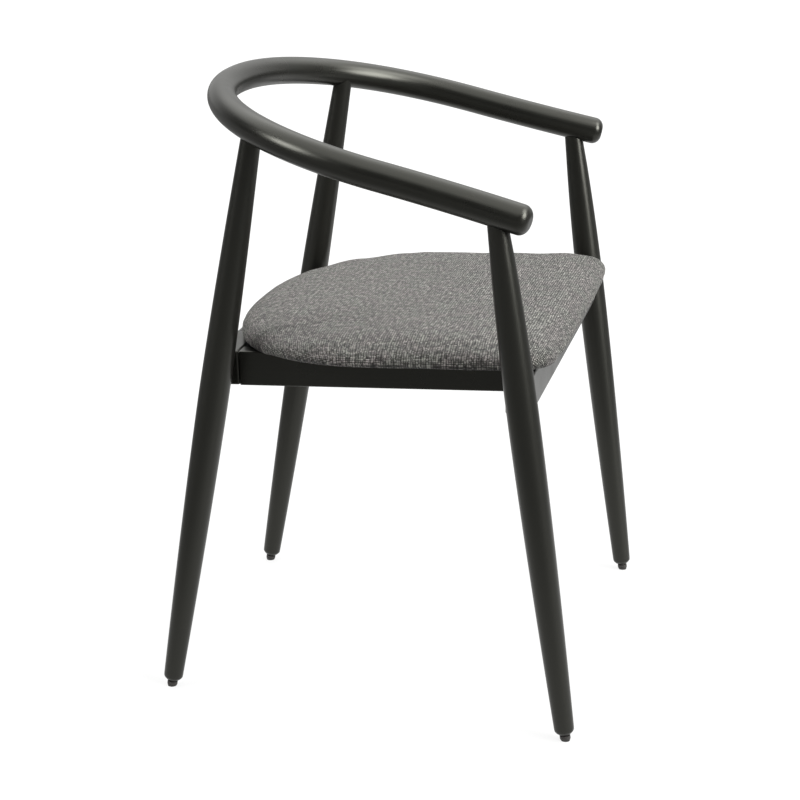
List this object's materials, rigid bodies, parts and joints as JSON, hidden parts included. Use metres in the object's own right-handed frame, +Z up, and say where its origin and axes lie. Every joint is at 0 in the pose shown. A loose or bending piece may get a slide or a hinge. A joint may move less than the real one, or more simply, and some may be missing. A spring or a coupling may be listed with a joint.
{
  "type": "dining armchair",
  "caption": "Dining armchair: bent round horseshoe rail as back and arms, splayed turned legs, rectangular rail frame and a D-shaped upholstered seat.",
  "frame": {"origin": "on the floor, under the middle of the chair's bounding box", "axes": "+Z up, the chair faces -Y, +X is the sitter's left"},
  "size_m": [0.6512, 0.517, 0.7349],
  "materials": {
    "black_wood": "satin black lacquer over wood, grain barely showing",
    "plain_wood": "bare beech and plywood, hidden",
    "black_nylon": "moulded nylon",
    "grey_weave": "coarse grey melange weave",
    "white_foam": "open-cell seat foam, hidden",
    "black_lining": "thin black non-woven lining",
    "zinc_steel": "zinc-plated wood screw"
  },
  "bodies": {
    "root": {"arm_rail": "black_wood", "front_rail": "black_wood", "rear_rail": "black_wood", "side_rail_left": "black_wood", "side_rail_right": "black_wood", "leg_front_left": "black_wood", "glide_front_left": "black_nylon", "leg_dowel_front_left": "plain_wood", "side_dowel_front_left_low": "plain_wood", "side_dowel_front_left_high": "plain_wood", "corner_block_front_left": "plain_wood", "seat_screw_front_left": "zinc_steel", "leg_front_right": "black_wood", "glide_front_right": "black_nylon", "leg_dowel_front_right": "plain_wood", "side_dowel_front_right_low": "plain_wood", "side_dowel_front_right_high": "plain_wood", "corner_block_front_right": "plain_wood", "seat_screw_front_right": "zinc_steel", "leg_rear_left": "black_wood", "glide_rear_left": "black_nylon", "leg_dowel_rear_left": "plain_wood", "side_dowel_rear_left_low": "plain_wood", "side_dowel_rear_left_high": "plain_wood", "corner_block_rear_left": "plain_wood", "seat_screw_rear_left": "zinc_steel", "leg_rear_right": "black_wood", "glide_rear_right": "black_nylon", "leg_dowel_rear_right": "plain_wood", "side_dowel_rear_right_low": "plain_wood", "side_dowel_rear_right_high": "plain_wood", "corner_block_rear_right": "plain_wood", "seat_screw_rear_right": "zinc_steel", "seat_board": "plain_wood", "seat_foam": "white_foam", "seat_cover": "grey_weave", "dust_cloth": "black_lining"}
  },
  "joints": []
}
